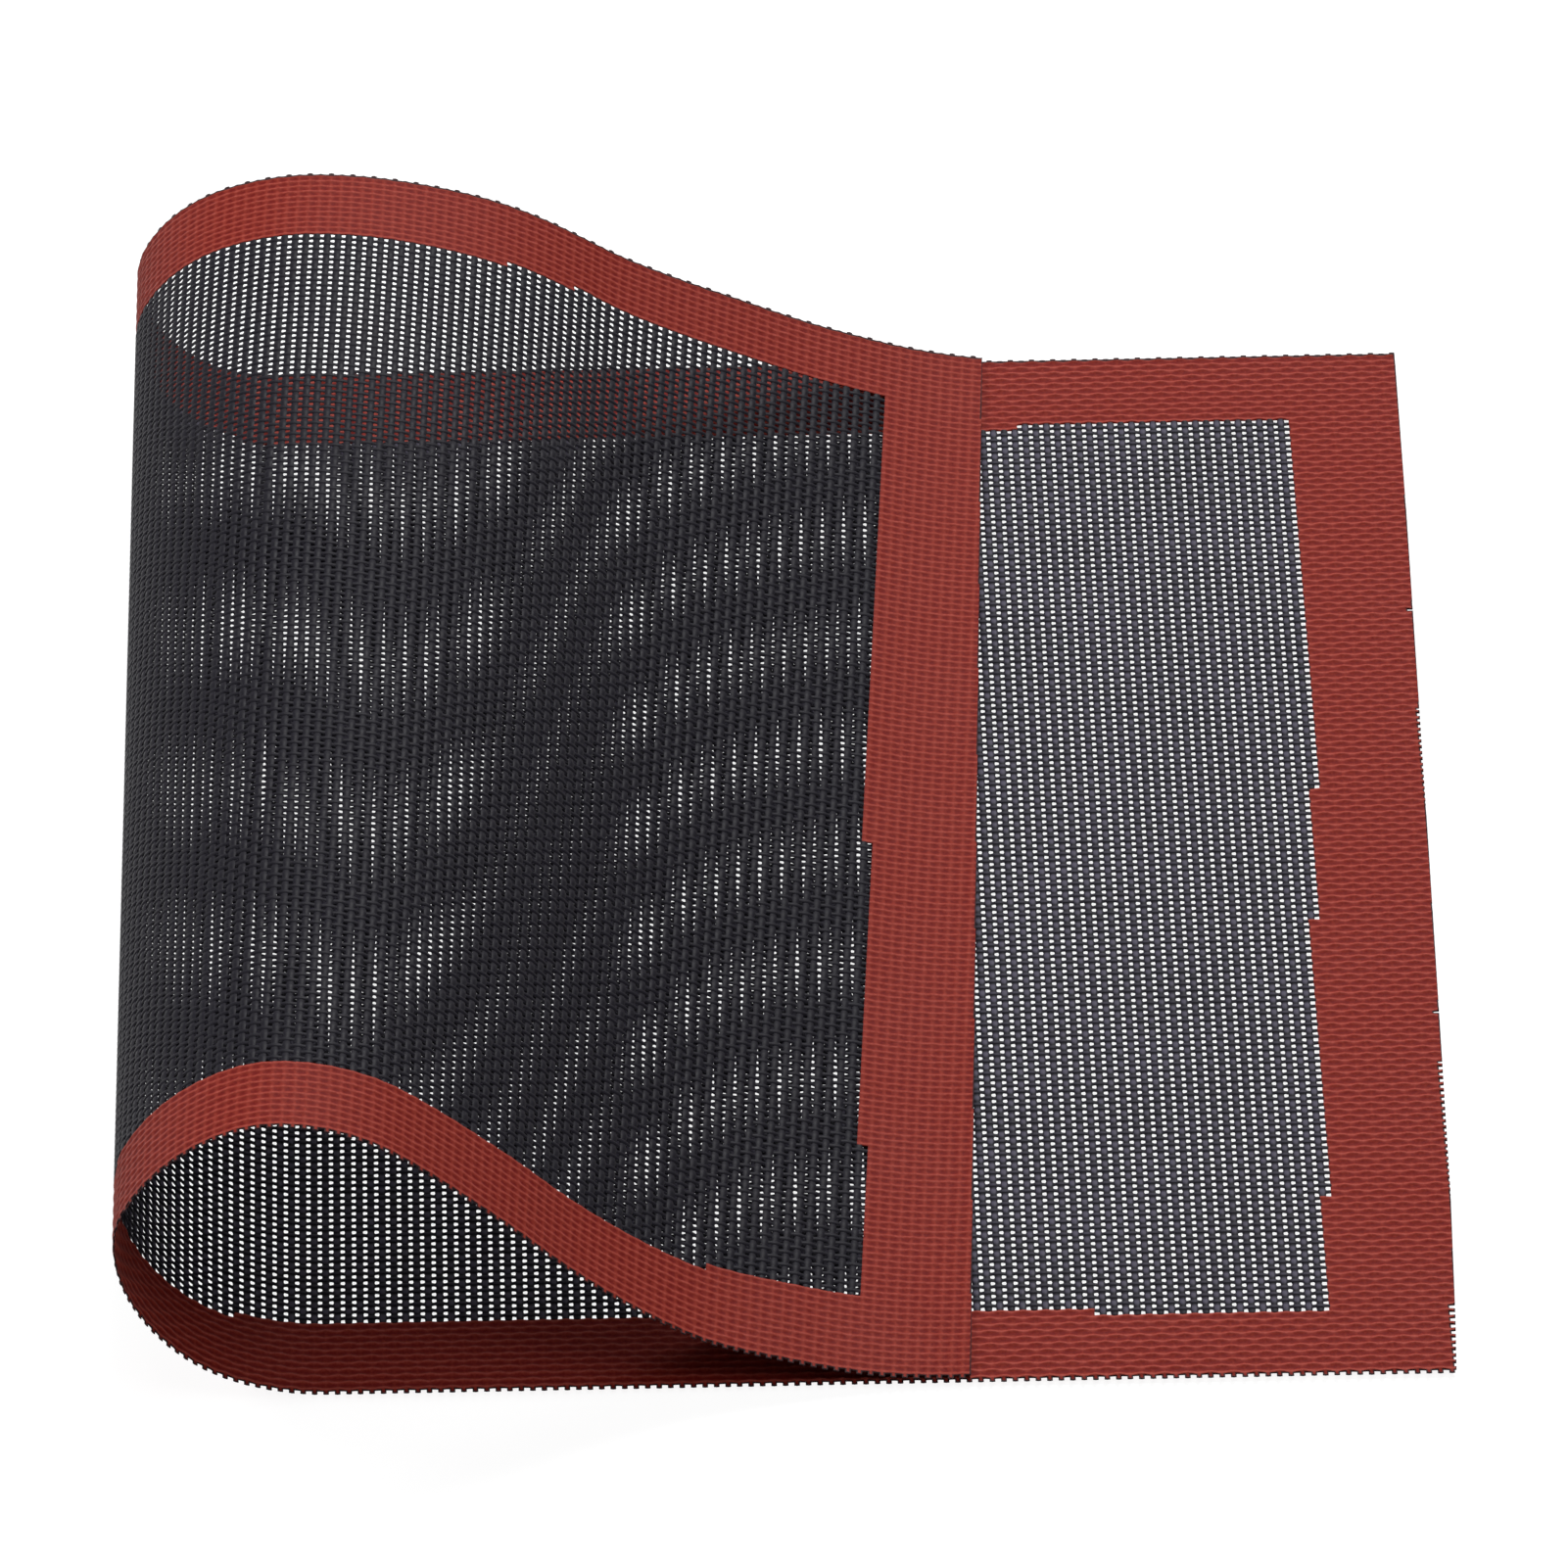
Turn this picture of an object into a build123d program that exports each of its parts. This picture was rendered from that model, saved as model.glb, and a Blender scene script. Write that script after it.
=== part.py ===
"""Perforated baking mat, folded over on itself.

An open cloth of woven glass yarn, coated with black silicone, has a filled
rust-red silicone border on all four sides. A coarse grid of openings stands for
the fine holes of the weave, with the same share of open area. The base lies flat. At the left the
cloth turns up into a loop, comes back over the base in an S-curve and rests on
it with its free end. The cloth bends along fold lines that slant a little,
because the loop is larger at the near edge than at the far edge.

Millimetres. +Z is up, +X points from the loop to the base's end edge, and the
near long edge is at -Y. The origin is under the middle of the folded mat.
"""

import math
import os

from build123d import *

# Driving sizes of the flat mat
mat_length = 400.0
mat_width = 300.0
border_thickness = 0.7
mesh_thickness = 0.6
near_border_width = 17.6
far_border_width = 20.0
base_end_border_width = 18.7
flap_end_border_width = 18.8

# Room between moving pieces
fold_gap = 0.5
flap_rest_gap = 0.3

# The grid of openings in the mesh: how many across the mat and how many along
# the base, with one on each strip of the loop. The share is of a grid cell.
openings_across = 12
base_openings_along = 8
opening_share = 0.6
cut_overrun = 1.0

# A strip that sags less than this between its fold lines is drawn flat
least_sag = 0.001

# Where each fold line meets the near and the far long edge, as shares of the
# mat's length, counted from the base's end edge. The last fold line is the
# inner edge of the border at the flap's free end.
near_line_shares = (
    0.460, 0.496, 0.526, 0.5575, 0.587, 0.6055, 0.637,
    0.666, 0.685, 0.706, 0.732, 0.805, 0.875, 0.915,
)
far_line_shares = (
    0.4975, 0.517, 0.541, 0.564, 0.5835, 0.601, 0.623,
    0.6475, 0.6885, 0.741, 0.805, 0.821, 0.840, 0.900,
)

# How far the cloth turns over each strip between fold lines, in degrees. The
# loop turns up and over, and the negative turns lay the flap down again.
loop_turns = (20, 23, 22, 26, 28, 21, 20, 21, 15, 16)
near_flap_turns = (13, -13, -12, -10, -12)
far_flap_turns = (1, -6, -6, -3, -11)

# The strips that are turned a little more or less to bring the flap's end down
steeper_strip = len(loop_turns) - 1
flatter_strip = steeper_strip + 4
settle_limit = 20.0
settle_steps = 40

near_y = -mat_width / 2
far_y = mat_width / 2
near_mesh_y = near_y + near_border_width
far_mesh_y = far_y - far_border_width
base_height = border_thickness / 2
flap_end_height = border_thickness + flap_rest_gap + border_thickness / 2
flap_line_share = 1 - flap_end_border_width / mat_length


class LongEdge:
    """The middle of the cloth's thickness along one long edge, as arc after arc."""

    def __init__(self, line_shares, turns):
        self.lines = [mat_length * share for share in (*line_shares, flap_line_share)]
        self.turns = list(turns)
        self.settle()

    def trace(self, settling):
        """The start of each strip: distance along the cloth, x, z, heading and turn per length."""
        turns = list(self.turns)
        turns[steeper_strip] += settling
        turns[flatter_strip] -= settling
        starts = [(0.0, 0.0, base_height, 0.0, 0.0)]
        ends = [*self.lines[1:], mat_length]
        x = -self.lines[0]
        z = base_height
        heading = 0.0
        for start, end, turn in zip(self.lines, ends, turns):
            bend = math.radians(turn) / (end - start)
            starts.append((start, x, z, heading, bend))
            x, z, heading = self.along(starts[-1], end)
        return starts

    @staticmethod
    def along(strip, distance):
        """The point and heading on a strip's arc, at a distance along the cloth."""
        start, x, z, heading, bend = strip
        run = distance - start
        half_turn = bend * run / 2
        chord = run * (math.sin(half_turn) / half_turn if half_turn else 1)
        x -= chord * math.cos(heading + half_turn)
        z += chord * math.sin(heading + half_turn)
        return x, z, heading + bend * run

    def settle(self):
        """Halve the range of the settling turn until the flap's end lies at its height."""
        low, high = -settle_limit, settle_limit
        for _ in range(settle_steps):
            middle = (low + high) / 2
            self.strips = self.trace(middle)
            if self.along(self.strips[-1], mat_length)[1] > flap_end_height:
                low = middle
            else:
                high = middle

    def upright_x(self):
        """Where the cloth first stands upright, at the loop's left."""
        for strip, after in zip(self.strips, self.strips[1:]):
            if after[3] >= math.pi / 2:
                upright = strip[0] + (math.pi / 2 - strip[3]) / strip[4]
                return self.along(strip, upright)[0]
        return self.strips[-1][1]


near_edge = LongEdge(near_line_shares, loop_turns + near_flap_turns)
far_edge = LongEdge(far_line_shares, loop_turns + far_flap_turns)
strip_count = len(near_edge.lines)


def loop_reach():
    """The loop's lowest x: the outer face, where the cloth stands upright."""
    return min(near_edge.upright_x(), far_edge.upright_x()) - border_thickness / 2


# The folded mat reaches from the loop to the base's end edge, centred on X = 0
base_end_x = -loop_reach() / 2


def strip_point(index, along_share, width_share, offset):
    """A point of a loop strip: along the cloth, across its width and off its middle surface."""
    corners = []
    for edge in (near_edge, far_edge):
        start = edge.lines[index] + fold_gap / 2
        end = mat_length
        if index + 1 < strip_count:
            end = edge.lines[index + 1] - fold_gap / 2
        distance = start + (end - start) * along_share
        corners.append(LongEdge.along(edge.strips[index + 1], distance))
    near, far = corners
    x = near[0] + (far[0] - near[0]) * width_share
    z = near[1] + (far[1] - near[1]) * width_share
    heading = near[2] + (far[2] - near[2]) * width_share
    y = near_y + mat_width * width_share
    return Vector(
        base_end_x + x + math.sin(heading) * offset,
        y,
        z + math.cos(heading) * offset,
    )


def cut_curve(start, middle, end):
    """One side of the cloth's cut face: an arc, or a line where the strip is flat."""
    if (middle - (start + end) / 2).length < least_sag:
        return Edge.make_line(start, end)
    return Edge.make_three_point_arc(start, middle, end)


def strip_section(index, y, thickness, start_share, end_share):
    """The cloth's cut face on one strip, or on a share of it, in a plane across the mat."""
    width_share = (y - near_y) / mat_width
    shares = (start_share, (start_share + end_share) / 2, end_share)
    below = [strip_point(index, share, width_share, -thickness / 2) for share in shares]
    above = [strip_point(index, share, width_share, thickness / 2) for share in reversed(shares)]
    return Wire(
        [
            cut_curve(*below),
            Edge.make_line(below[2], above[0]),
            cut_curve(*above),
            Edge.make_line(above[2], below[0]),
        ]
    )


def loop_strip(index, start_y, end_y, thickness, start_share=0, end_share=1):
    """A curved band of cloth between two fold lines, from one y to another."""
    sections = [
        strip_section(index, y, thickness, start_share, end_share) for y in (start_y, end_y)
    ]
    return Solid.make_loft(sections, ruled=True)


def opening_shares(number, count):
    """Where one of a row of openings starts and ends, as shares of the row."""
    bar_share = (1 - opening_share) / 2
    return (number + bar_share) / count, (number + 1 - bar_share) / count


def opening_rows():
    """The openings' lowest and highest y, from the near border to the far one."""
    for across in range(openings_across):
        yield [
            near_mesh_y + (far_mesh_y - near_mesh_y) * share
            for share in opening_shares(across, openings_across)
        ]


def open_strip(index, start_y, end_y, thickness):
    """A curved band of the mesh, with one row of openings."""
    cutter_thickness = thickness + 2 * cut_overrun
    openings = [
        loop_strip(index, low_y, high_y, cutter_thickness, *opening_shares(0, 1))
        for low_y, high_y in opening_rows()
    ]
    return loop_strip(index, start_y, end_y, thickness) - openings


def fold_line_x(y, edge_gap):
    """The base's edge along the first fold line."""
    near_x = base_end_x - near_edge.lines[0]
    far_x = base_end_x - far_edge.lines[0]
    return near_x + (far_x - near_x) * (y - near_y) / mat_width + edge_gap


def base_outline(start_y, end_y, start_share=0, end_share=1):
    """Part of the base's length, from its end border to the first fold line, as four sides."""
    end_x = base_end_x - base_end_border_width
    corners = []
    for y, share in (
        (start_y, start_share),
        (end_y, start_share),
        (end_y, end_share),
        (start_y, end_share),
    ):
        corners.append((end_x + (fold_line_x(y, fold_gap / 2) - end_x) * share, y))
    return Wire(Polyline(*corners, close=True).edges())


def base_slab(start_y, end_y, thickness, openings=()):
    """A flat piece of the base from its end border to the first fold line."""
    slab = extrude(Face(base_outline(start_y, end_y), openings), thickness)
    return Pos(0, 0, base_height - thickness / 2) * slab


def open_base_slab(start_y, end_y, thickness):
    """The base's mesh, as one flat net."""
    openings = [
        base_outline(low_y, high_y, *opening_shares(along, base_openings_along))
        for low_y, high_y in opening_rows()
        for along in range(base_openings_along)
    ]
    return base_slab(start_y, end_y, thickness, openings)


def base_end_border():
    slab = Box(
        base_end_border_width,
        mat_width,
        border_thickness,
        align=(Align.MAX, Align.CENTER, Align.MIN),
    )
    return Pos(base_end_x, 0, 0) * slab


# The three bands across the mat's width
bands = {
    "near_border": (near_y, near_mesh_y, border_thickness),
    "mesh": (near_mesh_y, far_mesh_y, mesh_thickness),
    "far_border": (far_mesh_y, far_y, border_thickness),
}


def build():
    pieces = {"base_end_border": base_end_border()}
    for band, extent in bands.items():
        base_shape = open_base_slab if band == "mesh" else base_slab
        strip_shape = open_strip if band == "mesh" else loop_strip
        pieces[f"base_{band}"] = base_shape(*extent)
        for index in range(strip_count - 1):
            pieces[f"fold_{index + 1:02d}_{band}"] = strip_shape(index, *extent)
    pieces["flap_end_border"] = loop_strip(strip_count - 1, near_y, far_y, border_thickness)
    return pieces


os.makedirs("parts", exist_ok=True)
for name, piece in build().items():
    piece.label = name
    export_step(piece, f"parts/{name}.step")
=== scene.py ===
import math

import bpy
import numpy as np
from mathutils import Matrix, Vector


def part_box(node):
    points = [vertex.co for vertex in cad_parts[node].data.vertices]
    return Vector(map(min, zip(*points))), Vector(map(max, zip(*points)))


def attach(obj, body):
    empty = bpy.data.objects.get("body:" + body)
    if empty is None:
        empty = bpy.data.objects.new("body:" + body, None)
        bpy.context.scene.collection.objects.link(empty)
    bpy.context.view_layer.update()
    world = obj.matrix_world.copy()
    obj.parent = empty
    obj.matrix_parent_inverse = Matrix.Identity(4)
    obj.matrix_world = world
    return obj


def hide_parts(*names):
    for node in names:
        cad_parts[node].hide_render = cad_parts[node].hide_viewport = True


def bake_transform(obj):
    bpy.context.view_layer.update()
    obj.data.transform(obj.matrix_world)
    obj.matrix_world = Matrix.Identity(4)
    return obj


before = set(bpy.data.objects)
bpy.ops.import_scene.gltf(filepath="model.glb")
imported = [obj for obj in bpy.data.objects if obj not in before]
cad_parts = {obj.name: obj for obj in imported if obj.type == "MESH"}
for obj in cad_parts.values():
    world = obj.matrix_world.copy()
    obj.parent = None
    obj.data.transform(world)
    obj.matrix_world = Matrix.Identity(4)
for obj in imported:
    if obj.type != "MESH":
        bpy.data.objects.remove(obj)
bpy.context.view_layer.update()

mm = 0.001

# The flat mat. s is the way along it from the base's end edge, y the way across it.
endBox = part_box("base_end_border")
mat = {
    "length": 400 * mm,
    "width": endBox[1][1] - endBox[0][1],
    "nearY": endBox[0][1],
    "endX": endBox[1][0],
    "thickness": endBox[1][2] - endBox[0][2],
    "flapRestGap": 0.3 * mm,
    "flapBorder": 18.8 * mm,
}
mat["farY"] = mat["nearY"] + mat["width"]

# Where the cloth bends: fold lines as shares of the length, and each strip's turn in degrees.
# Two of the strips turn a little more and less, until the flap's end lies at its height.
bends = {
    "nearLineShares": (0.460, 0.496, 0.526, 0.5575, 0.587, 0.6055, 0.637,
                       0.666, 0.685, 0.706, 0.732, 0.805, 0.875, 0.915),
    "farLineShares": (0.4975, 0.517, 0.541, 0.564, 0.5835, 0.601, 0.623,
                      0.6475, 0.6885, 0.741, 0.805, 0.821, 0.840, 0.900),
    "loopTurns": (20, 23, 22, 26, 28, 21, 20, 21, 15, 16),
    "nearFlapTurns": (13, -13, -12, -10, -12),
    "farFlapTurns": (1, -6, -6, -3, -11),
    "steeperStrip": 9,
    "flatterStrip": 13,
    "settleLimit": 20.0,
    "settleSteps": 40,
}


# One long edge of the folded cloth: flat on the floor, then one arc after another
class LongEdge:
    def __init__(self, lineShares, flapTurns):
        flapShare = 1 - mat["flapBorder"] / mat["length"]
        shares = (0, *lineShares, flapShare, 1)
        self.knots = mat["length"] * np.array(shares)
        self.turns = (0, *bends["loopTurns"], *flapTurns)
        low, high = -bends["settleLimit"], bends["settleLimit"]
        restHeight = 1.5 * mat["thickness"] + mat["flapRestGap"]
        for _ in range(bends["settleSteps"]):
            middle = (low + high) / 2
            if self.trace(middle) > restHeight:
                low = middle
            else:
                high = middle

    def trace(self, settling):
        turns = np.radians(self.turns)
        turns[1 + bends["steeperStrip"]] += math.radians(settling)
        turns[1 + bends["flatterStrip"]] -= math.radians(settling)
        lengths = np.diff(self.knots)
        self.bend = turns / lengths
        self.heading = np.concatenate([[0], np.cumsum(turns)[:-1]])
        chord = lengths * np.sinc(turns / (2 * math.pi))
        across = -chord * np.cos(self.heading + turns / 2)
        up = chord * np.sin(self.heading + turns / 2)
        self.x = mat["endX"] + np.concatenate([[0], np.cumsum(across)[:-1]])
        self.z = mat["thickness"] / 2 + np.concatenate([[0], np.cumsum(up)[:-1]])
        return self.z[-1] + up[-1]

    def along(self, strip, share):
        run = share * np.diff(self.knots)[strip]
        halfTurn = self.bend[strip] * run / 2
        chord = run * np.sinc(halfTurn / math.pi)
        heading = self.heading[strip] + halfTurn
        x = self.x[strip] - chord * np.cos(heading)
        z = self.z[strip] + chord * np.sin(heading)
        return x, z, heading + halfTurn


nearEdge = LongEdge(bends["nearLineShares"], bends["nearFlapTurns"])
farEdge = LongEdge(bends["farLineShares"], bends["farFlapTurns"])
stripCount = len(nearEdge.knots) - 1


def between(near, far, share):
    return near + (far - near) * share


# Where each fold line crosses the width at y, in a row for each line
def linesAt(y):
    share = (y - mat["nearY"]) / mat["width"]
    return between(nearEdge.knots[:, None], farEdge.knots[:, None], share)


# How the flap lies beside those arcs. Its end reaches a little further over the base, most at its near
# corner, and lies right on it. The slope before it is lower at the near edge and higher at the far one.
flapLie = {
    "endShares": (0.75, 0.95),
    "nearReach": 1.2 * mm,
    "farReach": 0.4 * mm,
    "sink": 0.25 * mm,
    "slopeShares": (0.725, 0.785, 0.88, 0.93),
    "nearLift": -1.3 * mm,
    "farLift": 0.7 * mm,
}


# Folds the flat cloth: points at s, y and a height above the middle of its thickness
def onCloth(s, y, height):
    s, y, height = (np.asarray(v, float).ravel() for v in np.broadcast_arrays(s, y, height))
    lines = linesAt(y)
    strip = np.clip((s >= lines).sum(axis=0) - 1, 0, stripCount - 1)
    each = np.arange(len(s))
    start = lines[strip, each]
    share = (s - start) / (lines[strip + 1, each] - start)
    width = (y - mat["nearY"]) / mat["width"]
    near = nearEdge.along(strip, share)
    far = farEdge.along(strip, share)
    x, z, heading = (between(n, f, width) for n, f in zip(near, far))
    pulled = np.interp(s / mat["length"], flapLie["endShares"], [0, 1])
    slope = np.interp(s / mat["length"], flapLie["slopeShares"], [0, 1, 1, 0])
    slope = slope * slope * (3 - 2 * slope)
    x = x + pulled * between(flapLie["nearReach"], flapLie["farReach"], width)
    x = x + np.sin(heading) * height
    lift = slope * between(flapLie["nearLift"], flapLie["farLift"], width)
    z = z + np.cos(heading) * height + lift - pulled * flapLie["sink"]
    return np.stack([x, y, z], axis=-1)


# The plain weave: row yarns run along the mat, column yarns run across it and lean a little
weave = {
    "rowPitch": mat["width"] / 170.8,
    "columnPitch": 1.877 * mm,
    "rowCount": 171,
    "columnCount": 218,
    "firstRow": 0.7,
    "firstColumn": 0.5 * mm,
    "lean": 0.01821,
}
lastRow = weave["rowCount"] - 1


def flatPoint(column, row):
    y = mat["nearY"] + (weave["firstRow"] + row) * weave["rowPitch"]
    s = weave["firstColumn"] + weave["columnPitch"] * column - weave["lean"] * (mat["farY"] - y)
    return s, y


# The base's end was cut a little bowed: how far it bulges at each y
endCut = {
    "y": np.array([-150, -135, -100, 0, 100, 150]) * mm,
    "bulge": np.array([0.05, 0.4, 0.85, 0.7, 0.4, 0]) * mm,
}


def cutStart(y):
    return -np.interp(y, endCut["y"], endCut["bulge"])


# The printed border, in yarns that it covers. Each pair is where a stretch starts, and its yarns.
# The flap's columns are those from a number on. At the base's end the print is a film where the cut
# runs further past the last yarn than the gap for its y.
border = {
    "nearRows": ((0, 10), (34, 11), (110, 10), (130, 11), (192, 12)),
    "farRows": ((0, 12), (36, 13), (110, 12), (166, 11), (173, 10)),
    "endColumns": ((-150 * mm, 14), (-100 * mm, 13), (-22 * mm, 12), (18 * mm, 11)),
    "flapColumns": ((-150 * mm, 206), (-88 * mm, 205), (-2 * mm, 204)),
    "filmY": np.array([-140, -77, 23]) * mm,
    "filmGap": np.array([1.5, 1.2, 0.95]) * mm,
    "leastCut": 0.05 * mm,
}
# The fine grid that the print is modelled on, in pitches: half a yarn's width along and across the mat,
# the near edge, and the far edge's dark rim and teeth, of which every second one is shorter
printGrid = {
    "halfColumn": 0.25,
    "halfRow": 0.22,
    "nearEdge": -0.7,
    "farRim": 0.34,
    "farTooth": 0.56,
    "shortTooth": 0.16,
}


def stepped(steps, values):
    starts = np.array([start for start, _ in steps])
    counts = np.array([count for _, count in steps])
    return counts[np.clip(np.searchsorted(starts, values, side="right") - 1, 0, None)]


columns = np.arange(weave["columnCount"])[:, None]
rows = np.arange(weave["rowCount"])[None, :]
crossingS, crossingY = flatPoint(columns, rows)
columnReach = printGrid["halfColumn"] * weave["columnPitch"]
present = crossingS + columnReach > cutStart(crossingY)
present &= crossingS - columnReach < mat["length"]
inEnd = columns < stepped(border["endColumns"], crossingY)
inFlapEnd = columns >= stepped(border["flapColumns"], crossingY)
inNear = (rows < stepped(border["nearRows"], columns)) & ~inEnd & ~inFlapEnd
inFar = (rows >= weave["rowCount"] - stepped(border["farRows"], columns)) & ~inEnd & ~inFlapEnd
printed = inEnd | inFlapEnd | inNear | inFar

# Pieces are cut half-way between fold lines, so that each one bends at one fold line
pieceCuts = {"beforeFirstFold": 6 * mm, "bendMargin": 0.3 * mm, "axisStep": 0.1 * mm}
lastFold = stripCount - 1


def foldOf(s, y):
    y = np.broadcast_to(y, s.shape)
    lines = linesAt(y.ravel())
    cuts = (lines[1:-2] + lines[2:-1]) / 2
    cuts = np.vstack([lines[1] - pieceCuts["beforeFirstFold"], cuts])
    return (s.ravel() >= cuts).sum(axis=0).reshape(s.shape)


crossingFold = foldOf(crossingS, crossingY)

# Where each yarn and each face of the print lies on the piece's baked picture
baked = {"yarnShare": 0.9, "margin": 0.01}
sharpAngle = 65.0


# Makes a mesh of four-sided faces, with its place on the baked picture and its own values
def quadMesh(name, points, quads, uvs, values):
    mesh = bpy.data.meshes.new(name)
    mesh.vertices.add(len(points))
    mesh.vertices.foreach_set("co", points.astype(np.float32).ravel())
    mesh.loops.add(quads.size)
    mesh.loops.foreach_set("vertex_index", quads.astype(np.int32).ravel())
    mesh.polygons.add(len(quads))
    mesh.polygons.foreach_set("loop_start", np.arange(0, quads.size, 4, dtype=np.int32))
    mesh.update(calc_edges=True)
    mesh.shade_smooth()
    mesh.set_sharp_from_angle(angle=math.radians(sharpAngle))
    layer = mesh.uv_layers.new(name="OFBake")
    layer.data.foreach_set("uv", uvs.astype(np.float32).ravel())
    for label, value in values.items():
        attribute = mesh.attributes.new(label, "FLOAT", "POINT")
        attribute.data.foreach_set("value", value.astype(np.float32))
    piece = bpy.data.objects.new(name, mesh)
    bpy.context.scene.collection.objects.link(piece)
    return piece


# The yarns of the open mesh. Row yarns get a lower relief value than column yarns, which only darkens them:
# painted shade. An end that meets the print runs on under it. A yarn's cut face is in shares of its width
# and height.
yarn = {
    "rowWidth": 1.02 * mm,
    "columnWidth": 1.24 * mm,
    "rowShadeDrop": 0.25,
    "height": 0.34 * mm,
    "wave": 0.1 * mm,
    "atCrossing": 1.07,
    "betweenCrossings": 0.9,
    "underPrint": 0.35,
    "ringsPerPitch": 3,
    "trianglesPerPiece": 175000,
}
sectionShares = np.array([(0.5, 0), (0.25, 0.5), (-0.25, 0.5), (-0.5, 0), (-0.25, -0.5), (0.25, -0.5)])
sectionCaps = np.array([(0, 1, 2, 3), (0, 3, 4, 5)])
yarnReach = yarn["wave"] + yarn["height"] / 2
yarnsPerCrossing = 2
trianglesPerFace = 2


# The stretches of one yarn that belong to a piece, as first and last crossing
def runsOf(mask):
    edges = np.flatnonzero(np.diff(np.concatenate([[0], mask.astype(np.int8), [0]])))
    return edges[::2], edges[1::2] - 1


# Rings of points round one yarn, from its first to its last crossing, over and under the yarns it meets
def yarnRings(alongRow, line, first, last, printedCells):
    steps = np.arange(yarn["ringsPerPitch"] * (last - first + 1) + 1)
    place = first - 0.5 + steps / yarn["ringsPerPitch"]
    crossing = np.clip(np.floor(place + 0.5), first, last)
    inGap = steps % yarn["ringsPerPitch"] == 0
    over = np.where((crossing + line) % 2 == 0, 1, -1) * (1 if alongRow else -1)
    lift = np.where(inGap, 0, over) * yarn["wave"]
    place[0] -= yarn["underPrint"] * printedCells[first - 1]
    place[-1] += yarn["underPrint"] * printedCells[last + 1]
    fixed = np.full(len(place), line)
    s, y = flatPoint(place, fixed) if alongRow else flatPoint(fixed, place)
    width = yarn["rowWidth"] if alongRow else yarn["columnWidth"]
    swell = np.where(inGap, yarn["betweenCrossings"], yarn["atCrossing"])
    sideways = width * swell[:, None] * sectionShares[:, 0]
    if alongRow:
        y = y[:, None] + sideways
        s = np.broadcast_to(s[:, None], y.shape)
    else:
        s = s[:, None] + sideways
        y = np.broadcast_to(y[:, None], s.shape)
    height = lift[:, None] + yarn["height"] * sectionShares[:, 1]
    # Painted shade: row yarns get a lower relief, so that they are coloured darker
    relief = height / yarnReach - (yarn["rowShadeDrop"] if alongRow else 0)
    return place, s.ravel(), y.ravel(), height.ravel(), relief.ravel()


# The faces round a yarn and over its two ends, counted from its first point
def yarnFaces(alongRow, ringCount):
    count = len(sectionShares)
    ring = np.arange(ringCount - 1)[:, None] * count
    here = np.arange(count)
    after = (here + 1) % count
    sides = np.stack([ring + here, ring + count + here, ring + count + after, ring + after], -1)
    startCaps, endCaps = sectionCaps, sectionCaps[:, ::-1]
    if not alongRow:
        sides = sides[..., (0, 3, 2, 1)]
        startCaps, endCaps = endCaps, startCaps
    return np.concatenate([sides.reshape(-1, 4), startCaps, endCaps + (ringCount - 1) * count])


# Column yarns fill the left half of the baked picture and row yarns the right half, each in its band
def yarnUvs(alongRow, place, spread, order, lineCount):
    count = len(sectionShares)
    run = (place - spread[0] + 1) / (spread[-1] - spread[0] + 2)
    turn = (order + baked["yarnShare"] * np.arange(count + 1) / count) / lineCount
    shape = (len(place) - 1, count, 2)
    run = np.broadcast_to(np.stack([run[:-1], run[1:]], -1)[:, None, :], shape)
    turn = np.broadcast_to(np.stack([turn[:-1], turn[1:]], -1)[None], shape)
    if alongRow:
        u = 0.5 + 0.5 * run[..., (0, 1, 1, 0)]
        v = turn[..., (0, 0, 1, 1)]
    else:
        u = 0.5 * turn[..., (0, 1, 1, 0)]
        v = run[..., (0, 0, 1, 1)]
    sides = np.stack([u, v], -1).reshape(-1, 2)
    caps = [np.repeat(sides[[end]], sectionCaps.size, axis=0) for end in (0, -1)]
    return np.concatenate([sides, *caps])


# Yarn after yarn, for the crossings in the mask
def yarnPiece(name, mask):
    parts = {"s": [], "y": [], "height": [], "relief": [], "quads": [], "uvs": []}
    made = 0
    usedColumns = np.flatnonzero(mask.any(axis=1))
    usedRows = np.flatnonzero(mask.any(axis=0))
    for alongRow in (True, False):
        lines = usedRows if alongRow else usedColumns
        spread = usedColumns if alongRow else usedRows
        for order, line in enumerate(lines):
            cells = mask[:, line] if alongRow else mask[line, :]
            printedCells = printed[:, line] if alongRow else printed[line, :]
            for first, last in zip(*runsOf(cells)):
                place, *points = yarnRings(alongRow, line, first, last, printedCells)
                for label, values in zip(("s", "y", "height", "relief"), points):
                    parts[label].append(values)
                parts["quads"].append(yarnFaces(alongRow, len(place)) + made)
                parts["uvs"].append(yarnUvs(alongRow, place, spread, order, len(lines)))
                made += len(place) * len(sectionShares)
    s, y, height, relief, quads, uvs = (np.concatenate(part) for part in parts.values())
    return quadMesh(name, onCloth(s, y, height), quads, uvs, {"relief": relief})


# The two faces of the print: a ridge on each row yarn, which waves as the yarn goes over and under,
# and low bridges on the column yarns. A painted light value colours the crests lighter as a painted
# highlight, the bridges a little, and the hollows darker as painted shade. The under face's highlight is
# weaker.
upperSide = {
    "ridge": 0.2 * mm,
    "wave": 0.15 * mm,
    "bridge": 0.04 * mm,
    "sharpness": 4,
    "ridgeHighlight": 1.0,
    "bridgeLight": 0.2,
}
underSide = {
    "ridge": 0.24 * mm,
    "wave": -0.05 * mm,
    "bridge": 0.14 * mm,
    "sharpness": 2,
    "ridgeHighlight": 0.85,
    "bridgeLight": 0.5,
}
crestSharpness = 4


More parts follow.
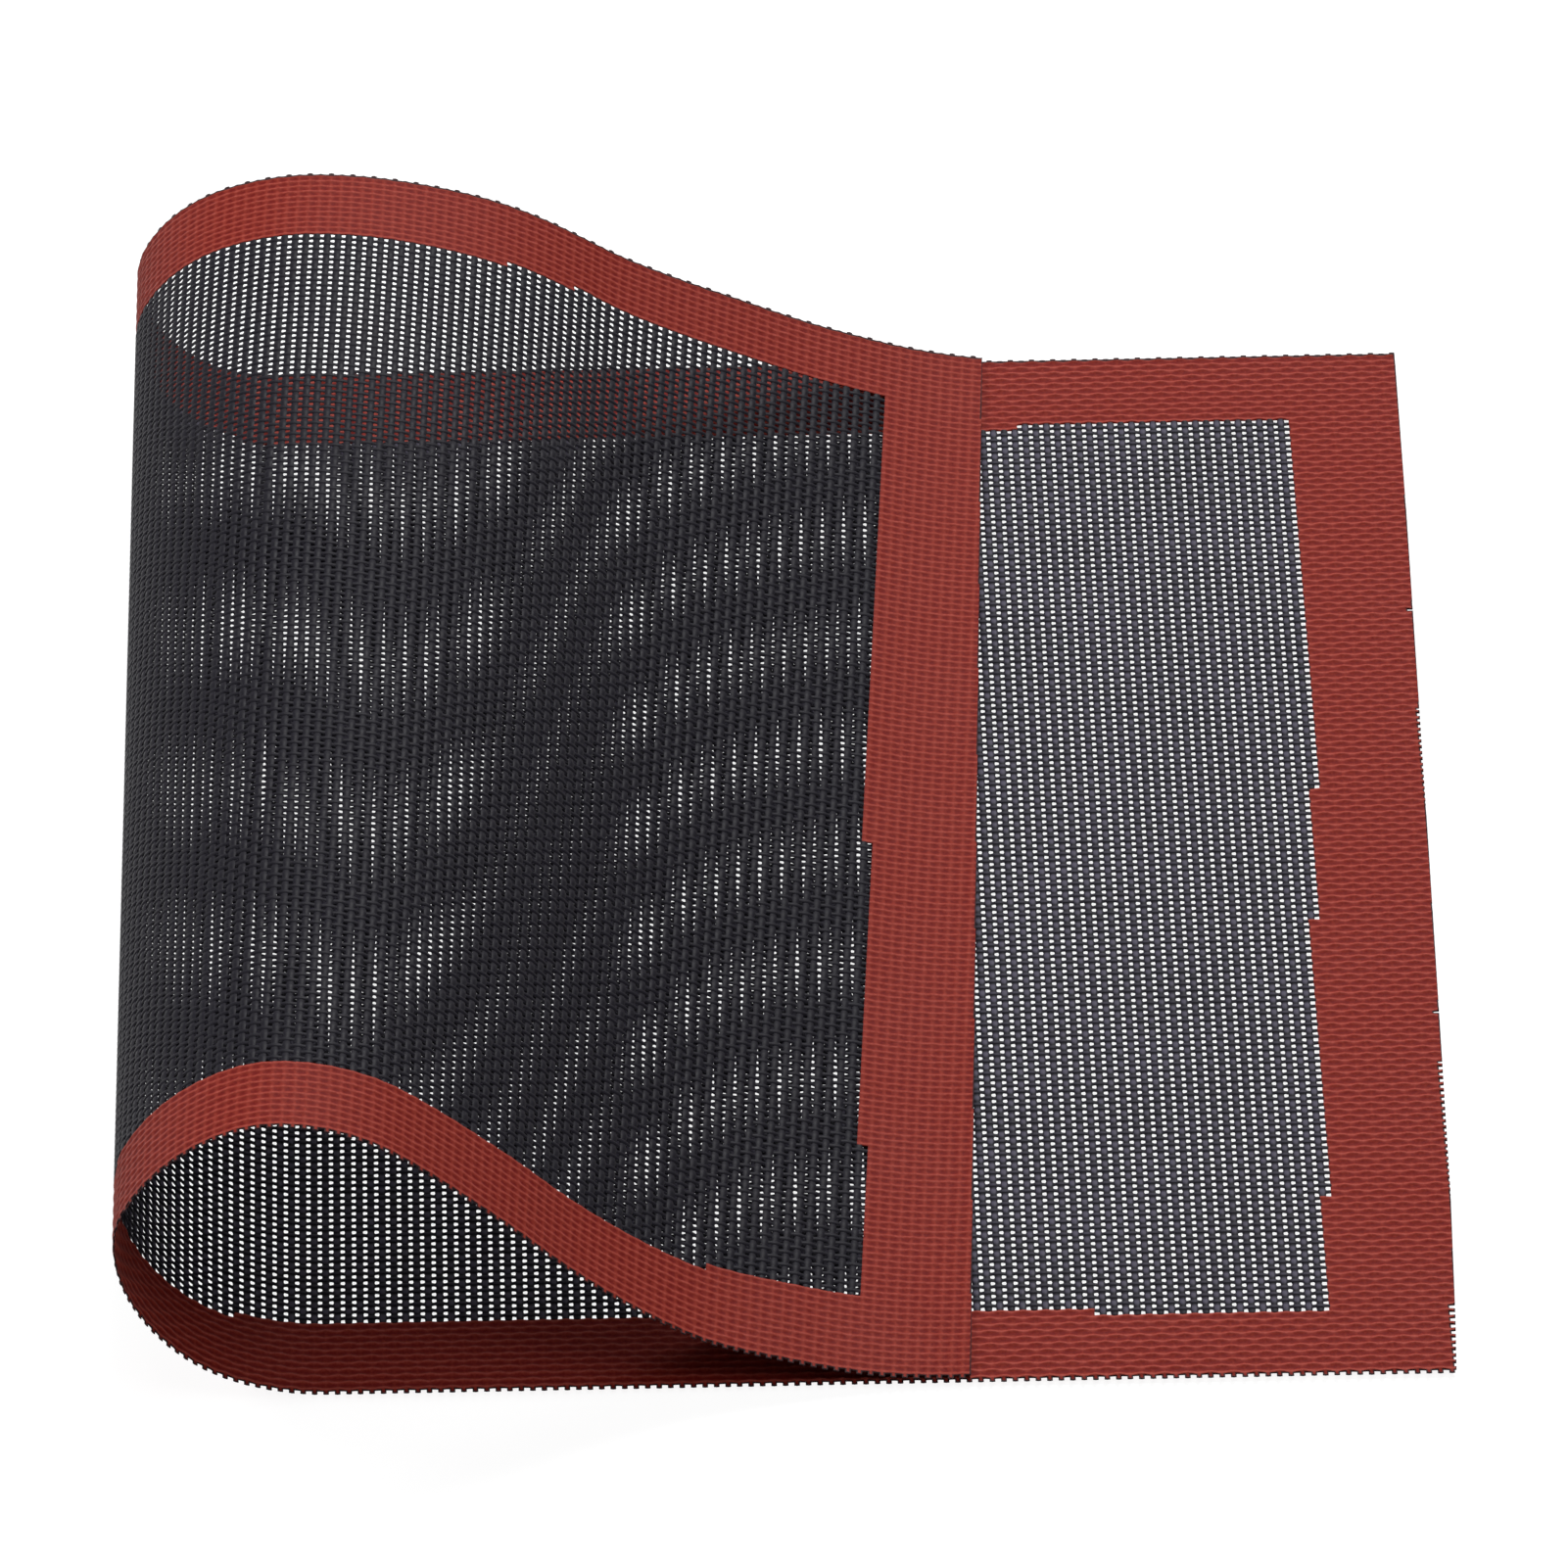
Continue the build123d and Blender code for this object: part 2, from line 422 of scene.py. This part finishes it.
def printFace(side, column, row):
    onRow = np.cos(math.pi * row) ** side["sharpness"]
    onColumn = np.cos(math.pi * column) ** crestSharpness
    over = np.cos(math.pi * column) * np.where(np.round(row) % 2 == 0, 1, -1)
    height = (side["ridge"] + side["wave"] * over) * onRow + side["bridge"] * onColumn * (1 - onRow)
    crest = np.cos(math.pi * row) ** crestSharpness
    # Painted light: crests coloured lighter as a painted highlight, the rest darker as painted shade
    paintedLight = side["ridgeHighlight"] * crest + side["bridgeLight"] * onColumn * (1 - crest)
    return height, paintedLight


# The fine grid's lines: at each yarn's middle and edges, and half-way to the next yarn
def gridLines(count, half, extra=()):
    offsets = np.array(sorted((0, half, 0.5, 1 - half, *extra)))
    return (np.arange(count)[:, None] + offsets).ravel()


halfColumn, halfRow = printGrid["halfColumn"], printGrid["halfRow"]
columnLines = gridLines(weave["columnCount"], halfColumn)
columnLines = np.concatenate([[-0.5, -halfColumn], columnLines])
rowLines = np.concatenate(
    [
        [printGrid["nearEdge"], -0.5, -halfRow, -halfRow / 2],
        gridLines(lastRow, halfRow, (halfRow / 2, 1 - halfRow / 2)),
        lastRow + np.array([0, halfRow / 2, halfRow, printGrid["farRim"], printGrid["farTooth"]]),
    ]
)
lineS, lineY = flatPoint(columnLines[:, None], rowLines[None, :])
lineY = np.broadcast_to(lineY, lineS.shape).copy()
nearestColumn = np.floor(columnLines + 0.5)
lineY[:, -1] -= printGrid["shortTooth"] * weave["rowPitch"] * (nearestColumn % 2)
faceColumn = (columnLines[:-1] + columnLines[1:]) / 2
faceRow = (rowLines[:-1] + rowLines[1:]) / 2


# The crossings that a face of the fine grid leans on: the one that it covers, or the two beside it
def leansOn(centre, reach, count):
    below = np.round(centre).astype(int)
    beside = abs(centre - below) > reach
    first = np.where(beside, np.floor(centre), below).astype(int)
    second = np.where(beside, first + 1, first)
    return [(np.clip(index, 0, count - 1), (index >= 0) & (index < count)) for index in (first, second)]


allPrinted = True
anyPresent = False
allPresent = True
for columnIndex, columnThere in leansOn(faceColumn, halfColumn, weave["columnCount"]):
    for rowIndex, rowThere in leansOn(faceRow, halfRow, weave["rowCount"]):
        pick = np.ix_(columnIndex, rowIndex)
        there = columnThere[:, None] & rowThere[None, :] & present[pick]
        allPrinted = allPrinted & (printed[pick] | ~there)
        anyPresent = anyPresent | there
        allPresent = allPresent & there

# Which faces of the fine grid the print fills
inFarRim = (faceRow > lastRow + halfRow) & (faceRow < lastRow + printGrid["farRim"])
onRowYarn = ((abs(faceRow - np.round(faceRow)) < halfRow) | inFarRim)[None, :]
onColumnYarn = (abs(faceColumn - np.round(faceColumn)) < halfColumn)[:, None]
innerS = np.maximum(lineS[1:, :-1], lineS[1:, 1:])
outerS = np.minimum(lineS[:-1, :-1], lineS[:-1, 1:])
faceS = (lineS[1:, 1:] + lineS[:-1, :-1]) / 2
faceY = flatPoint(0, faceRow)[1][None, :]
onMat = innerS > cutStart(faceY) + border["leastCut"]
onMat &= outerS < mat["length"] - border["leastCut"]
inRows = (faceRow > 0) & (faceRow < lastRow)
inFlapCut = (faceS > mat["length"] - weave["columnPitch"]) & inRows
nearestRow = np.clip(np.round(faceRow), 0, lastRow).astype(int)
firstS = crossingS[present.argmax(axis=0), rows[0]]
filmed = firstS - cutStart(crossingY[0]) > np.interp(crossingY[0], border["filmY"], border["filmGap"])
inStartCut = filmed[nearestRow] & (faceS < firstS[nearestRow]) & inRows
bridged = anyPresent & (allPresent | onRowYarn | onColumnYarn | inFlapCut)
filled = onMat & allPrinted & (bridged | inStartCut)
offMat = ~filled & (~allPresent | ~onMat)

faceFold = foldOf(faceS, faceY)
faceInEnd = inEnd[np.ix_(np.clip(np.round(faceColumn), 0, weave["columnCount"] - 1).astype(int), nearestRow)]
faceIsNear = (faceRow < lastRow / 2)[None, :]

upperFace, upperPaintedLight = printFace(upperSide, columnLines[:, None], rowLines[None, :])
underFace, underPaintedLight = printFace(underSide, columnLines[:, None], rowLines[None, :])
farRim = np.broadcast_to(rowLines >= lastRow, upperFace.shape)
clampedS = np.clip(lineS, cutStart(lineY), mat["length"])


# Places from 0 to 1 along one side of the baked picture, off its edges
def bakedPlaces(values, side):
    share = (values - values.min()) / (values.max() - values.min())
    return baked["margin"] + (side - 2 * baked["margin"]) * share


# A closed slab of printed silicone over the faces in the mask, with walls where it ends.
# Its cut yarns show on the far rim and on the walls at the mat's own edges.
def printPiece(name, mask):
    i, j = np.nonzero(mask)
    corners = [(0, 0), (0, 1), (1, 1), (1, 0)]
    top = np.stack([(i + di) * len(rowLines) + j + dj for di, dj in corners], -1)
    neighbours = [(-1, 0), (0, 1), (1, 0), (0, -1)]
    padded = np.pad(mask, 1)
    paddedOff = np.pad(offMat, 1, constant_values=True)
    walls = []
    outer = []
    for side, (di, dj) in enumerate(neighbours):
        ends = ~padded[i + 1 + di, j + 1 + dj]
        walls.append(top[ends][:, (side, (side + 1) % 4)])
        outer.append(paddedOff[i + 1 + di, j + 1 + dj][ends])
    walls = np.concatenate(walls)
    outer = np.concatenate(outer)
    used, index = np.unique(top, return_inverse=True)
    top = index.reshape(top.shape)
    walls = np.searchsorted(used, walls)
    count = len(used)
    sides = np.stack([walls[:, 0], walls[:, 0] + count, walls[:, 1] + count, walls[:, 1]], -1)
    quads = np.concatenate([top, top[:, ::-1] + count, sides])
    s, y, up, down, rim = (a.ravel()[used] for a in (clampedS, lineY, upperFace, underFace, farRim))
    points = np.concatenate([onCloth(s, y, up), onCloth(s, y, -down)])
    edge = np.concatenate([rim, rim]).astype(float)
    edge[sides[outer].ravel()] = 1
    # The painted shade and highlight value of both faces
    paintedLight = np.concatenate([upperPaintedLight.ravel()[used], underPaintedLight.ravel()[used]])
    u = bakedPlaces(s, 0.5)
    u = np.concatenate([u, u + 0.5])
    v = np.tile(bakedPlaces(y, 1), 2)
    uvs = np.stack([u[quads], v[quads]], -1).reshape(-1, 2)
    return quadMesh(name, points, quads, uvs, {"paintedLight": paintedLight, "edge": edge})


# One socket of a material, so that sums on masks can be written as sums
class Socket:
    def __init__(self, finish, link):
        self.finish = finish
        self.link = link

    def sum(self, operation, first, second):
        return self.finish.node("ShaderNodeMath", {"operation": operation}, {0: first, 1: second})

    def __add__(self, other):
        return self.sum("ADD", self, other)

    __radd__ = __add__

    def __mul__(self, other):
        return self.sum("MULTIPLY", self, other)

    __rmul__ = __mul__

    def __sub__(self, other):
        return self.sum("SUBTRACT", self, other)

    def __rsub__(self, other):
        return self.sum("SUBTRACT", other, self)


class Finish:
    def __init__(self, name):
        self.material = bpy.data.materials.new(name)
        self.material.use_nodes = True
        self.tree = self.material.node_tree
        self.shader = self.tree.nodes["Principled BSDF"]
        self.place = self.node("ShaderNodeTexCoord", {}, {}, "Object")

    def feed(self, socket, value):
        if isinstance(value, Socket):
            self.tree.links.new(value.link, socket)
        else:
            socket.default_value = value

    # Any node: its type, its settings and then its sockets' values or links
    def node(self, kind, settings, inputs, output=0):
        made = self.tree.nodes.new(kind)
        for label, value in settings.items():
            setattr(made, label, value)
        for label, value in inputs.items():
            self.feed(made.inputs[label], value)
        return Socket(self, made.outputs[output])

    def noise(self, scale, detail):
        return self.node("ShaderNodeTexNoise", {}, {"Vector": self.place, "Scale": scale, "Detail": detail})

    def attribute(self, name):
        return self.node("ShaderNodeAttribute", {"attribute_name": name}, {}, "Fac")

    def mask(self, value, limits):
        inputs = {"Value": value, "From Min": limits[0], "From Max": limits[1]}
        return self.node("ShaderNodeMapRange", {"interpolation_type": "SMOOTHSTEP"}, inputs)

    def mix(self, share, first, second):
        return self.node("ShaderNodeMix", {"data_type": "RGBA"}, {0: share, 6: first, 7: second}, 2)

    def bump(self, height, distance, strength):
        inputs = {"Height": height, "Distance": distance, "Strength": strength}
        return self.node("ShaderNodeBump", {}, inputs)

    def finish(self, values):
        for label, value in values.items():
            self.feed(self.shader.inputs[label], value)
        return self.material


def colour(red, green, blue):
    return (red, green, blue, 1.0)


# Black silicone over the glass yarns of the open mesh, with a painted highlight: the yarns' crowns, where
# the relief is high, are coloured lighter. Each pair of limits is where a mask runs from 0 to 1.
meshLook = {
    "deep": colour(0.0056, 0.0048, 0.0083),
    "paintedHighlight": colour(0.050, 0.045, 0.066),
    "highlightLimits": (0.5, 1.1),
    "patchDepth": 0.4,
    "roughness": 0.5,
    "roughPatches": 0.12,
    "roughGrain": 0.1,
    "shine": 0.04,
    "sheen": 0.04,
    "grainSize": 1400.0,
    "patchSize": 60.0,
    "patchDetail": 2.0,
}
# Rust-red silicone printed into the border, with painted shade in its hollows and a painted highlight
# on its ridges' crests
printLook = {
    "hollowShade": colour(0.100, 0.004, 0.003),
    "face": colour(0.158, 0.016, 0.009),
    "ridge": colour(0.236, 0.043, 0.031),
    "cutYarn": colour(0.022, 0.009, 0.010),
    "hollowShadeLimits": (0.05, 0.6),
    "ridgeHighlightLimits": (0.5, 1.1),
    "edgeLimits": (0.35, 0.65),
    "grainDepth": 0.8,
    "roughness": 0.6,
    "roughPatches": 0.1,
    "roughGrain": 0.12,
    "shine": 0.03,
    "sheen": 0.03,
    "grainSize": 1800.0,
    "patchSize": 35.0,
    "patchDetail": 3.0,
}
# The fine grain that both kinds of silicone have
grainLook = {"detail": 2.0, "height": 0.03 * mm, "strength": 0.5}


# Painted highlight: the yarns' crowns, where the relief is high, get a lighter colour than the yarn's own
# black
def meshShade(finish, grain, patches):
    relief = finish.attribute("relief") + (patches - 0.5) * meshLook["patchDepth"]
    return finish.mix(finish.mask(relief, meshLook["highlightLimits"]), meshLook["deep"], meshLook["paintedHighlight"])


# Painted shade in the hollows and painted highlight on the ridges. Cut yarns are dark because they are
# black.
def printShade(finish, grain, patches):
    paintedLight = finish.attribute("paintedLight") + (grain - 0.5) * printLook["grainDepth"]
    cut = finish.mask(finish.attribute("edge"), printLook["edgeLimits"])
    shade = finish.mix(finish.mask(paintedLight, printLook["hollowShadeLimits"]), printLook["hollowShade"], printLook["face"])
    shade = finish.mix(finish.mask(paintedLight, printLook["ridgeHighlightLimits"]), shade, printLook["ridge"])
    return finish.mix(cut, shade, printLook["cutYarn"])


def silicone(name, look, shadeOf):
    finish = Finish(name)
    grain = finish.noise(look["grainSize"], grainLook["detail"])
    patches = finish.noise(look["patchSize"], look["patchDetail"])
    least = look["roughness"] - (look["roughPatches"] + look["roughGrain"]) / 2
    return finish.finish({
        "Base Color": shadeOf(finish, grain, patches),
        "Roughness": patches * look["roughPatches"] + grain * look["roughGrain"] + least,
        "Normal": finish.bump(grain, grainLook["height"], grainLook["strength"]),
        "Specular IOR Level": look["shine"],
        "Sheen Weight": look["sheen"],
    })


def dress(piece, material, nodes):
    piece.data.materials.append(material)
    if nodes:
        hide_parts(*nodes)
    return piece


# A piece's near end, middle and far end, across the mat
def pieceSpan(piece):
    places = np.empty(3 * len(piece.data.vertices), np.float32)
    piece.data.vertices.foreach_get("co", places)
    low, high = float(places[1::3].min()), float(places[1::3].max())
    return np.array([low, (low + high) / 2, high])


# Finds a piece's fold line and how far it reaches on either side, up to where the cuts are nearest, and
# bakes the piece's place into its mesh
def bendAt(piece, fold):
    y = pieceSpan(piece)
    lines = linesAt(y)
    slant = math.atan2(lines[fold, 2] - lines[fold, 0], y[2] - y[0])
    before = lines[fold] - lines[fold - 1] if fold > 1 else np.full(3, 2 * pieceCuts["beforeFirstFold"])
    after = lines[fold + 1] - lines[fold]
    reach = min(before.min(), after.min()) / 2 * math.cos(slant) - pieceCuts["bendMargin"]
    near, middle, far = onCloth(lines[fold], y, 0)
    step = pieceCuts["axisStep"]
    back, ahead = onCloth(lines[fold, 1] + np.array([-step, step]), y[1], 0)
    axis = Vector(far - near).normalized()
    way = Vector(ahead - back)
    way = (way - axis * way.dot(axis)).normalized()
    centre = Vector(middle)
    centre - way * reach
    centre + way * reach
    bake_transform(piece)
    return piece


# Works out the size that a piece of the open mesh has when it lies flat
def clothSheet(mask):
    s = crossingS[mask]
    y = crossingY[0][mask.any(axis=0)]
    width = y.max() - y.min() + weave["rowPitch"]
    length = s.max() - s.min() + weave["columnPitch"]
    area = min(mask.sum() * weave["rowPitch"] * weave["columnPitch"], width * length)


black = silicone("mesh_silicone", meshLook, meshShade)
red = silicone("border_silicone", printLook, printShade)
openCells = ~printed & present


# The base, stiff on its own body. Its cloth is divided, so that no piece has too many triangles.
def makeBase():
    places = {"end": faceInEnd, "near": ~faceInEnd & faceIsNear, "far": ~faceInEnd & ~faceIsNear}
    for label, mask in places.items():
        piece = printPiece(f"base_{label}_print", filled & (faceFold == 0) & mask)
        dress(piece, red, [f"base_{label}_border"])
        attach(piece, "base")

    mask = openCells & (crossingFold == 0)
    facesPerCell = yarnsPerCrossing * yarn["ringsPerPitch"] * len(sectionShares)
    triangles = trianglesPerFace * mask.sum() * facesPerCell
    partCount = math.ceil(triangles / yarn["trianglesPerPiece"])
    for index, part in enumerate(np.array_split(np.flatnonzero(mask.any(axis=1)), partCount)):
        here = mask & np.isin(columns, part)
        piece = yarnPiece(f"base_cloth_{index + 1}", here)
        dress(piece, black, ["base_mesh"] if index == 0 else [])
        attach(piece, "base")
        clothSheet(here)
    print("base cloth:", partCount, "pieces")


# The loop and the flap: the pieces that bend at one fold line
def makeFold(fold):
    last = fold == lastFold
    here = filled & (faceFold == fold)
    if last:
        prints = {"flap_end_print": (here, "flap_end_border")}
    else:
        prints = {
            f"near_print_{fold:02d}": (here & faceIsNear, f"fold_{fold:02d}_near_border"),
            f"far_print_{fold:02d}": (here & ~faceIsNear, f"fold_{fold:02d}_far_border"),
        }
    for name, (mask, node) in prints.items():
        piece = dress(printPiece(name, mask), red, [node])
        bendAt(piece, fold)
    mask = openCells & (crossingFold == fold)
    piece = yarnPiece(f"cloth_{fold:02d}", mask)
    dress(piece, black, [] if last else [f"fold_{fold:02d}_mesh"])
    bendAt(piece, fold)
    clothSheet(mask)


makeBase()
for fold in range(1, lastFold + 1):
    makeFold(fold)
print("loop and flap:", lastFold, "fold lines")

# A plain pale floor that glows a little, as a light table does. It lies just under the mat, so that it
# hides little of the strips, which sag between their fold lines when the mat is flat.
floorLook = {
    "size": 6.0,
    "drop": 0.7 * mm,
    "colour": colour(0.14, 0.14, 0.14),
    "roughness": 0.9,
    "glowColour": colour(1, 1, 1),
    "glow": 0.9,
}


def makeFloor():
    half = floorLook["size"] / 2
    corners = [(x * half, y * half, -floorLook["drop"]) for x, y in ((-1, -1), (1, -1), (1, 1), (-1, 1))]
    mesh = bpy.data.meshes.new("floor")
    mesh.from_pydata(corners, [], [(0, 1, 2, 3)])
    floor = bpy.data.objects.new("floor", mesh)
    bpy.context.scene.collection.objects.link(floor)
    material = Finish("floor").finish({
        "Base Color": floorLook["colour"],
        "Roughness": floorLook["roughness"],
        "Emission Color": floorLook["glowColour"],
        "Emission Strength": floorLook["glow"],
    })
    mesh.materials.append(material)


makeFloor()

# Soft boxes, each with its place, its size and its power, aimed at the mat
lights = {
    "overhead": {"at": (0.0, -0.5, 2.0), "size": 1.2, "power": 15.0},
    "behind": {"at": (0.7, 2.8, 3.0), "size": 1.4, "power": 240.0},
    "left": {"at": (-2.4, 1.2, 1.6), "size": 1.2, "power": 55.0},
}
room = {"colour": colour(1, 1, 1), "strength": 0.15}


def makeLights():
    for name, light in lights.items():
        data = bpy.data.lights.new(name, "AREA")
        data.shape = "SQUARE"
        data.size = light["size"]
        data.energy = light["power"]
        lamp = bpy.data.objects.new(name, data)
        bpy.context.scene.collection.objects.link(lamp)
        place = Vector(light["at"])
        lamp.location = place
        lamp.rotation_euler = (-place).to_track_quat("-Z", "Y").to_euler()
    world = bpy.data.worlds.new("room")
    world.use_nodes = True
    background = world.node_tree.nodes["Background"]
    background.inputs["Color"].default_value = room["colour"]
    background.inputs["Strength"].default_value = room["strength"]
    bpy.context.scene.world = world


makeLights()

# The photograph's view, far off through a long lens
view = {
    "aim": (2.16 * mm, 21.19 * mm, 0.35 * mm),
    "distance": 3.024,
    "elevation": 35.0,
    "turn": -0.504,
    "roll": -1.413,
    "lens": 405.39,
    "sensor": 36.0,
}


def makeCamera():
    elevation, turn, roll = (math.radians(view[key]) for key in ("elevation", "turn", "roll"))
    level = math.cos(elevation)
    ahead = Vector((math.sin(turn) * level, math.cos(turn) * level, -math.sin(elevation)))
    sideways = ahead.cross(Vector((0, 0, 1))).normalized()
    upright = sideways.cross(ahead)
    right = sideways * math.cos(roll) + upright * math.sin(roll)
    up = upright * math.cos(roll) - sideways * math.sin(roll)
    data = bpy.data.cameras.new("view")
    data.lens = view["lens"]
    data.sensor_width = view["sensor"]
    camera = bpy.data.objects.new("view", data)
    bpy.context.scene.collection.objects.link(camera)
    place = Vector(view["aim"]) - ahead * view["distance"]
    axes = Matrix((right, up, -ahead)).transposed().to_4x4()
    camera.matrix_world = Matrix.Translation(place) @ axes
    bpy.context.scene.camera = camera


makeCamera()
bpy.context.scene.view_settings.view_transform = "Standard"
print("floor, lights and camera placed")
